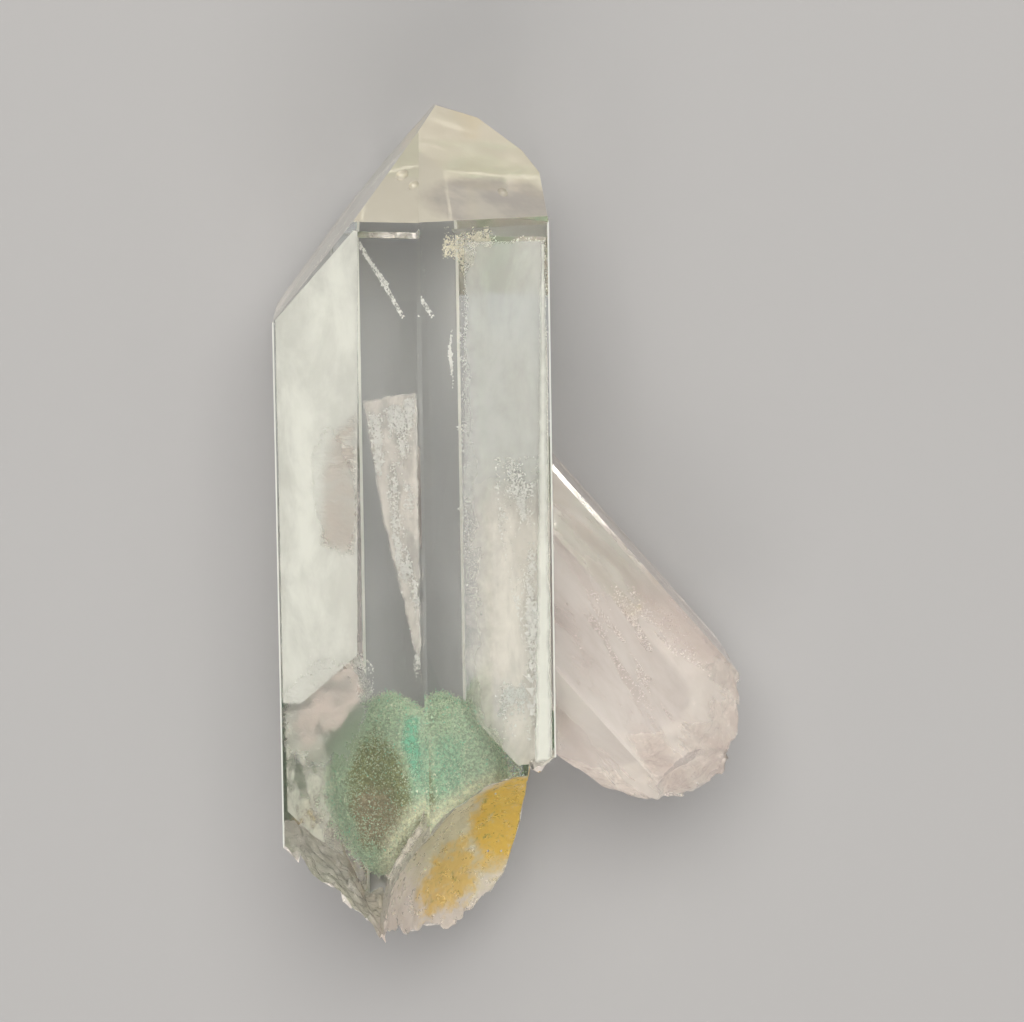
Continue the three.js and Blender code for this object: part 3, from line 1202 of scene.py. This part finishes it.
def flakes_object(name: str, centers: Array, sizes: Array, flatness: float, rng: np.random.Generator,
                  facing: Array | None = None, lean: float = 0.5) -> bpy.types.Object:
    """Many small flakes as one mesh: each is three points round its middle and one behind it.

    Args:
        name: The object's name.
        centers: Their middles in mm.
        sizes: Their half widths in mm.
        flatness: Thickness as a share of the width.
        rng: Source of chance.
        facing: Normal of the sheet that they lie in, or None for flakes turned every way.
        lean: How far they lean away from that sheet.

    Returns:
        The object, in metres.
    """
    count = len(centers)
    normals = rng.normal(size=(count, 3))
    if facing is not None:
        normals = np.array(facing) / np.linalg.norm(facing) + lean * normals
    normals /= np.linalg.norm(normals, axis=1, keepdims=True)
    first = np.cross(normals, rng.normal(size=(count, 3)))
    first /= np.linalg.norm(first, axis=1, keepdims=True)
    second = np.cross(normals, first)
    angles = np.array([0, 2, 4]) * np.pi / 3 + rng.uniform(-0.5, 0.5, (count, 3))
    reach = rng.uniform(0.6, 1.5, (count, 3)) * sizes[:, None]
    rim = (first[:, None] * (np.cos(angles) * reach)[..., None]
           + second[:, None] * (np.sin(angles) * reach)[..., None])
    tips = -normals * (flatness * sizes)[:, None]
    points = np.concatenate([rim, tips[:, None]], axis=1) + centers[:, None]
    index = np.array(FLAKE_FACES)[None] + 4 * np.arange(count)[:, None, None]
    return mesh_object(name, points.reshape(-1, 3) * MM, index.reshape(-1, 3))


# Veils and films inside the quartz


@dataclass(frozen=True)
class Cloud:
    """A haze of tiny specks in a long round space inside the crystal."""

    center: tuple
    radii: tuple
    turn: float
    count: int
    streak: tuple
    contrast: float
    seed: int
    size: tuple = (0.02, 0.05)

    def scatter(self, rng: np.random.Generator) -> tuple:
        """Choose the specks: points of a stretched and turned ball, more of them where the noise is high.

        Args:
            rng: Source of chance.

        Returns:
            Their middles and sizes in mm.
        """
        ball = rng.normal(size=(self.count * 6, 3))
        ball *= (rng.random(len(ball)) ** 0.42 / np.linalg.norm(ball, axis=1))[:, None]
        place = ball * np.array(self.radii)
        noise = Noise(self.seed).layers((place[:, 0] + 0.4 * place[:, 2]) / self.streak[0],
                                        place[:, 1] / self.streak[1], 1.4, 5)
        weight = np.exp(self.contrast * 2.0 * noise)
        chosen = rng.choice(len(place), self.count, replace=False, p=weight / weight.sum())
        turn = np.array(Matrix.Rotation(self.turn, 3, "Z"))
        return place[chosen] @ turn.T + np.array(self.center), rng.uniform(*self.size, self.count)


@dataclass(frozen=True)
class Sheet:
    """A healed crack: flakes on a bent sheet with a ragged outline, seen from the front."""

    outline: tuple
    height: float
    count: int
    size: tuple = (0.025, 0.07)
    slope: float = 0.0  # rise towards +X
    bend: float = 0.25
    edge: float = 0.5
    rim: float = 0.0
    rim_width: float = 0.07
    streak: tuple = (1.0, 2.5)
    lean: float = 0.0
    contrast: float = 1.5
    seed: int = 1

    def scatter(self, rng: np.random.Generator) -> tuple:
        """Choose the flakes: points inside the outline, more along its rim and where the noise is high.

        Args:
            rng: Source of chance.

        Returns:
            Their middles and sizes in mm.
        """
        corners = np.array(self.outline)
        place = rng.uniform(corners.min(axis=0), corners.max(axis=0), (self.count * 8, 2))
        ahead = np.roll(corners, -1, axis=0)
        inside = np.zeros(len(place), bool)
        near = np.full(len(place), np.inf)
        for start, end in zip(corners, ahead):
            span = end - start
            crosses = (start[1] > place[:, 1]) != (end[1] > place[:, 1])
            with np.errstate(divide="ignore", invalid="ignore"):
                at = start[0] + (place[:, 1] - start[1]) * span[0] / span[1]
            inside ^= crosses & (place[:, 0] < at)
            along = np.clip((place - start) @ span / (span @ span), 0, 1)
            near = np.minimum(near, np.linalg.norm(place - start - along[:, None] * span, axis=1))
        noise = Noise(self.seed)
        turned = place[:, 0] - self.lean * place[:, 1]
        ragged = near + 0.35 * self.edge * noise.layers(place[:, 0] + 3, place[:, 1] + 5, 0.5, 3)
        fade = np.clip(ragged / self.edge, 0, 1)
        streaks = noise.layers(turned / self.streak[0], place[:, 1] / self.streak[1], 0.8, 5)
        weight = np.exp(self.contrast * 2.0 * streaks)
        weight = weight * fade + self.rim * np.exp(-(near / self.rim_width) ** 2)
        weight = weight * inside
        count = min(self.count, int((weight > 0).sum()))
        chosen = rng.choice(len(place), count, replace=False, p=weight / weight.sum())
        x, y = place[chosen].T
        bend = self.bend * noise.layers(x + 20, y, 1.8, 4)
        z = self.height + self.slope * (x - corners.mean(axis=0)[0]) + bend
        sizes = rng.uniform(*self.size, len(chosen)) * np.where(rng.random(len(chosen)) < 0.06, 2.0, 1.0)
        return np.stack([x, y, z], axis=-1), sizes


FRONT = np.array([0.0, 0.1, 1.0])  # roughly towards the camera
VEIL_RISE = 0.577  # slope of the veils that lie along the front faces
VEIL_FLATNESS = 0.25  # thickness of a veil's flakes as a share of their width


def veil_piece(name: str, parts: tuple, finish: Plain, shift: Array, rng: np.random.Generator,
               facing: Array | None = FRONT) -> bpy.types.Object:
    """Build one piece from clouds and sheets.

    Args:
        name: The piece's name.
        parts: The clouds and sheets.
        finish: Their look.
        shift: Move to the object's frame in mm.
        rng: Source of chance.
        facing: Normal that the flakes face, or None.

    Returns:
        The object.
    """
    places, sizes = zip(*(part.scatter(rng) for part in parts))
    centers = np.concatenate(places) + shift
    made = flakes_object(name, centers, np.concatenate(sizes), VEIL_FLATNESS, rng, facing)
    made.data.materials.append(finish.material())
    return made


FACE_RISE = 0.57735  # rise of the left front face per mm towards +X, and fall of the right one
LEFT_FACE_TOP, RIGHT_FACE_TOP = 14.94, 15.56  # heights of the planes of the front faces at X 0


@dataclass(frozen=True)
class Film:
    """A thin film close under one of the two front faces: milky, or, over the left third, a bright painted
    reflection.

    The outline is the plate's own, and the reach, where it is given, the one that the haze fades out towards.
    """

    name: str
    outline: tuple
    left: bool
    finish: FilmFinish
    depth: float = 0.45
    reach: tuple = ()
    thickness: float = 0.02

    def build(self, shift: Array) -> bpy.types.Object:
        """Build the film: its outline on a plane parallel to the front face, at its depth below it.

        Args:
            shift: Move to the object's frame in mm.

        Returns:
            The object.
        """
        corners = np.array(self.outline)
        rise, top = (FACE_RISE, LEFT_FACE_TOP) if self.left else (-FACE_RISE, RIGHT_FACE_TOP)
        height = top - self.depth / np.cos(np.radians(30)) + rise * corners[:, 0]
        front = np.column_stack([corners, height]) + shift
        back = front - np.array([0.0, 0.0, self.thickness])
        made = film_object(self.name, front * MM, back * MM)
        reach = np.array(self.reach or self.outline) + shift[:2]
        made.data.materials.append(self.finish.material(self.name, reach))
        return made


def film_object(name: str, front: Array, back: Array) -> bpy.types.Object:
    """A thin closed plate between two equal convex outlines.

    Args:
        name: The object's name.
        front: Corners of its front, anticlockwise, in metres.
        back: Corners of its back, in the same order.

    Returns:
        The object.
    """
    count = len(front)
    index = np.arange(1, count - 1)
    fan = np.stack([np.zeros_like(index), index, index + 1], axis=1)
    here = np.arange(count)
    after = (here + 1) % count
    sides = np.concatenate([np.stack([here, here + count, after + count], axis=1),
                            np.stack([here, after + count, after], axis=1)])
    faces = np.concatenate([fan, fan[:, ::-1] + count, sides])
    return mesh_object(name, np.concatenate([front, back]), faces)


FILMS = (
    Film("film_patch",
         ((-5.1, -1.3), (-3.1, -1.9), (-2.7, 0.2), (-2.8, 6.2), (-4.3, 5.0), (-5.0, 2.4)), True,
         FilmFinish((0.88, 0.81, 0.76), 0.5, 0.0, 0.6, (2.2, 0.7, 1), 0.5, 0.25), 0.08),
    # bright film over the left third: painted reflection of the light that this part of the crystal reflects
    # inside
    Film("film_left_painted_reflection",
         ((-7.2, -9.9), (-6.20, -9.9), (-3.04, -7.00), (-2.60, 15.55), (-2.9, 15.55), (-7.2, 10.7)), True,
         FilmFinish((0.88, 0.885, 0.85), 0.93, 0.72, 2.5, (1, 2, 1), 0.06, 0.03), 0.16),
    Film("film_middle",
         ((-1.51, 0.04), (0.50, -8.61), (0.52, 7.27), (-2.52, 6.61)), True,
         FilmFinish((0.92, 0.88, 0.84), 0.8, 0.4, 1.6, (1, 2.5, 1), 0.2, 0.25), 0.6),
    Film("film_low",
         ((-7.0, -15.8), (-5.6, -17.0), (-4.0, -18.0), (-4.6, -12.4), (-7.0, -9.8)), True,
         FilmFinish((0.86, 0.86, 0.78), 0.6, 0.1, 0.9, (1, 1.5, 1), 1.3, 0.6), 0.45,
         ((-8.5, -17.0), (-5.6, -18.5), (-3.6, -18.6), (-4.4, -11.6), (-8.5, -8.6))),
    Film("film_healed",
         ((-6.9, -11.0), (-6.1, -12.7), (-3.7, -10.8), (-2.36, -8.9), (-3.37, -7.0), (-4.5, -7.8),
          (-6.28, -9.9)), True,
         FilmFinish((0.93, 0.82, 0.77), 0.65, 0.1, 0.8, (1, 1.6, 1), 0.5, 0.35), 0.3),
    Film("film_ridge",
         ((-2.0, -18.8), (-1.45, -19.2), (0.42, -16.2), (0.42, -14.9)), True,
         FilmFinish((0.92, 0.85, 0.78), 0.75, 0.15, 0.5, (1, 1, 1), 0.35, 0.3), 0.15),
    Film("film_right",
         ((2.6, 0.4), (7.0, 0.0), (7.0, 14.7), (2.83, 14.9)), False,
         FilmFinish((0.90, 0.92, 0.91), 0.46, 0.65, 3.0, (1, 2, 1), 3.0, 0.6), 0.45,
         ((1.3, 0.4), (9.5, 0.0), (9.5, 17.0), (1.0, 17.0))),
    Film("film_lower",
         ((2.0, -6.5), (2.8, -10.3), (5.2, -13.2), (7.05, -13.3), (7.1, 10.8), (2.7, 11.0)), False,
         FilmFinish((0.96, 0.93, 0.88), 0.9, 0.6, 1.8, (1, 3, 1), 3.0, 0.8), 0.6,
         ((1.9, -7.5), (2.4, -11.0), (4.2, -15.5), (10.0, -18.0), (10.0, 10.8), (2.0, 11.0))),
    Film("film_edge",
         ((6.1, -13.2), (7.2, -13.3), (7.2, 14.7), (6.8, 14.7)), False,
         FilmFinish((0.99, 1.0, 0.96), 0.97, 0.85, 4.0, (1, 2, 1), 0.3, 0.15), 0.2),
    Film("film_turquoise",
         ((-1.0, -11.6), (-0.3, -13.4), (0.40, -13.6), (0.40, -9.8), (-0.7, -9.9)), True,
         FilmFinish((0.28, 0.66, 0.48), 0.75, 0.2, 0.22, (1, 1, 1), 0.5, 0.2), 0.3),
)
MIDDLE_VEIL = Sheet(
    ((-2.3, 6.0), (0.3, 6.9), (0.35, -7.5), (0.1, -8.2), (-1.2, 0.5), (-1.9, 3.0)), 14.0, 5000,
    slope=VEIL_RISE, bend=0.08, edge=0.3, streak=(0.5, 1.6), contrast=2.2, seed=21)
LOW_LEFT_PATCH = Sheet(
    ((-6.4, -9.7), (-4.4, -7.5), (-3.1, -6.6), (-1.9, -7.7), (-1.9, -9.0), (-3.5, -10.4), (-5.0, -12.1),
     (-6.3, -12.5), (-6.9, -10.8)), 10.8, 5500,
    slope=0.4, edge=0.2, rim=1.5, streak=(0.8, 0.8), contrast=2.0, seed=24)
PINK_PATCH = Sheet(
    ((4.3, 3.4), (6.5, 3.3), (6.8, -2.3), (6.5, -9.3), (5.6, -6.6), (4.4, -0.1)), 11.95, 2600,
    slope=-VEIL_RISE, bend=0.08, edge=0.3, rim=4.0, streak=(0.6, 1.5), contrast=1.8, seed=25)
BEADS = Sheet(
    ((5.8, -4.4), (6.5, -4.4), (6.4, -13.0), (5.8, -9.7)), 11.7, 260,
    size=(0.06, 0.16), slope=-VEIL_RISE, bend=0.05, edge=0.1, contrast=0.5, seed=31)
CRACKS = (
    Sheet(((-2.3, 14.8), (-2.1, 14.9), (0.5, 10.9), (0.3, 10.8)), 11.0, 500, edge=0.04, seed=28),
    Sheet(((-1.9, 14.2), (-1.8, 14.3), (-0.4, 12.6), (-0.5, 12.5)), 10.6, 200, edge=0.04, seed=29),
    Sheet(((1.5, 10.7), (1.6, 10.7), (1.45, 9.0), (1.6, 7.0), (1.5, 7.0), (1.3, 9.0)), 11.0, 400,
          edge=0.03, seed=30),
)
RIGHT_VEIL = Sheet(
    ((1.9, 15.1), (6.9, 15.0), (6.9, 1.9), (6.7, -10.0), (3.8, -9.8), (2.7, -6.5), (1.7, -2.2), (1.6, 6.4)),
    10.0, 4000, slope=-0.2, bend=0.6, edge=0.5, lean=0.05, contrast=0.9, seed=22)
GREY_SPECKS = Sheet(
    ((3.9, -8.7), (5.9, -8.6), (6.0, -11.9), (4.5, -12.1)), 12.1, 900,
    slope=-VEIL_RISE, bend=0.08, edge=0.5, seed=26)
FEATHER = Sheet(
    ((1.2, 15.5), (4.3, 15.4), (4.1, 13.7), (2.7, 12.7), (1.9, 13.8), (1.2, 13.8)), 11.8, 2200,
    edge=0.3, lean=-0.8, contrast=2.2, seed=27)
SIDE_HAZE = Cloud((11.8, -8.8, 5.2), (3.1, 5.2, 2.1), SIDE_TURN, 7000, (0.8, 4.0), 1.6, 41)
WHITE = Plain("veil_white", (0.93, 0.93, 0.91))
HAZE = Plain("veil_haze", (0.88, 0.90, 0.88))
FEATHERY = Plain("veil_feather", (0.86, 0.82, 0.70))
PINKISH = Plain("veil_pinkish", (0.93, 0.88, 0.86))


# Studio and camera


@dataclass(frozen=True)
class SoftBox:
    """A large soft lamp that faces the crystal."""

    name: str
    place: tuple
    size: tuple
    power: float
    colour: tuple = (1.0, 1.0, 1.0)

    def build(self) -> None:
        """Add the lamp."""
        data = bpy.data.lights.new(self.name, "AREA")
        data.shape, data.size, data.size_y = "RECTANGLE", *self.size
        data.energy, data.color = self.power, self.colour
        lamp = bpy.data.objects.new(self.name, data)
        lamp.location = self.place
        lamp.rotation_euler = (-Vector(self.place)).to_track_quat("-Z", "Y").to_euler()
        bpy.context.scene.collection.objects.link(lamp)


@dataclass(frozen=True)
class Studio:
    """Floor, two grey boards beside the stone, even surrounding light and soft lamps."""

    half: float = 1.5  # half the floor's width
    gap: float = 2e-5  # keeps the floor off the flat edge that lies on it
    surround: tuple = (1.0, 0.985, 0.945)
    strength: float = 0.68
    left_board: tuple = ((-0.5, -0.8, 0.02), (-0.5, 0.8, 0.02), (-0.62, 0.8, 0.9), (-0.62, -0.8, 0.9))
    right_board: tuple = ((0.5, 0.8, 0.02), (0.5, -0.8, 0.02), (0.58, -0.8, 0.6), (0.58, 0.8, 0.6))
    lamps: tuple = (
        SoftBox("lamp_key", (0.0, 0.30, 0.60), (0.60, 0.45), 4.1, (1.0, 0.96, 0.89)),
        SoftBox("lamp_fill", (-0.06, -0.46, 0.38), (0.45, 0.30), 1.4, (1.0, 0.94, 0.88)),
    )

    def build(self) -> None:
        """Build the studio."""
        ground = [(x * self.half, y * self.half, -self.gap) for x, y in ((-1, -1), (1, -1), (1, 1), (-1, 1))]
        for name, corners, shade in (("floor", ground, (0.345, 0.345, 0.355)),
                                     ("backdrop_left", self.left_board, (0.36, 0.37, 0.38)),
                                     ("backdrop_right", self.right_board, (0.40, 0.40, 0.40))):
            board = mesh_object(name, np.array(corners), np.array([[0, 1, 2, 3]]))
            board.data.materials.append(Plain(name, shade, 0.9).material())
        world = bpy.data.worlds.new("surround")
        world.use_nodes = True
        world.node_tree.nodes["Background"].inputs["Color"].default_value = (*self.surround, 1.0)
        world.node_tree.nodes["Background"].inputs["Strength"].default_value = self.strength
        bpy.context.scene.world = world
        for lamp in self.lamps:
            lamp.build()


@dataclass(frozen=True)
class Viewpoint:
    """The camera, from the crystal's frame: it looks down on the lying stone."""

    pixel: float = 0.054  # mm that a picture pixel stands for at the aim
    distance: float = 250.0
    pitch: float = np.radians(7.0)
    roll: float = np.radians(-0.85)
    picture: tuple = (1024.0, 1022.0)
    aim_x: float = 415.5  # pixel column of the main crystal's axis
    aim_height: float = 7.6
    sensor: float = 36.0
    clip: tuple = (0.01, 20.0)

    def build(self, shift: Array) -> None:
        """Add the camera.

        Args:
            shift: Move to the object's frame in mm.
        """
        forward = np.array([0.0, -np.sin(self.pitch), -np.cos(self.pitch)])
        over = np.array([0.0, np.cos(self.pitch), -np.sin(self.pitch)])
        side = np.array([1.0, 0.0, 0.0])
        right = np.cos(self.roll) * side + np.sin(self.roll) * over
        up = -np.sin(self.roll) * side + np.cos(self.roll) * over
        aim = np.array([0.0, 0.0, self.aim_height]) + right * (self.picture[0] / 2 - self.aim_x) * self.pixel
        place = (aim - forward * self.distance + shift) * MM
        data = bpy.data.cameras.new("camera")
        data.sensor_width, data.sensor_fit = self.sensor, "HORIZONTAL"
        data.lens = self.distance / self.pixel / self.picture[0] * data.sensor_width
        data.clip_start, data.clip_end = self.clip
        camera = bpy.data.objects.new("camera", data)
        turn = np.stack([right, up, -forward], axis=1)
        camera.matrix_world = Matrix.Translation(place) @ Matrix(turn).to_4x4()
        bpy.context.scene.collection.objects.link(camera)
        bpy.context.scene.camera = camera


CELLS, QUICK_CELLS = 190, 110  # cells along the main crystal's broken end
BOUNCES, SHINE_BOUNCES = 32, 24


def main() -> None:
    """Build the whole scene."""
    logging.basicConfig(level=logging.INFO, format="%(name)s: %(message)s")
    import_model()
    lows, highs = zip(*(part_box(name) for name in ("quartz_crystal", "quartz_base")))
    low = Vector(min(corner[i] for corner in lows) for i in range(3))
    high = Vector(max(corner[i] for corner in highs) for i in range(3))
    rng = np.random.default_rng(7)
    cells = CELLS
    clear, shift = ClearPiece(MainCrystal(), SideCrystal(), cells).build(low, high)
    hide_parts("quartz_crystal", "quartz_base")
    phantom = Phantom()
    skin, dust = phantom.skin(shift), phantom.dust(shift, rng)
    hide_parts("fuchsite")
    healed = (MIDDLE_VEIL, LOW_LEFT_PATCH, PINK_PATCH, BEADS, *CRACKS)
    veils = [
        veil_piece("veil_white", healed, WHITE, shift, rng),
        veil_piece("veil_haze", (RIGHT_VEIL, GREY_SPECKS), HAZE, shift, rng),
        veil_piece("veil_feather", (FEATHER,), FEATHERY, shift, rng),
        veil_piece("haze_side", (SIDE_HAZE,), PINKISH, shift, rng, None),
    ]
    for piece in [clear, skin, dust] + veils + [film.build(shift) for film in FILMS]:
        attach(piece, "root")
        LOG.info("%s: %d faces", piece.name, len(piece.data.polygons))
    Studio().build()
    Viewpoint().build(shift)
    render = bpy.context.scene.cycles
    render.max_bounces = BOUNCES
    render.glossy_bounces = render.transmission_bounces = SHINE_BOUNCES
    render.blur_glossy = 0.0  # blurring the glass dims what lies inside it
    bpy.context.scene.view_settings.view_transform = "Standard"
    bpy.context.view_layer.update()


if __name__ == "__main__":
    main()
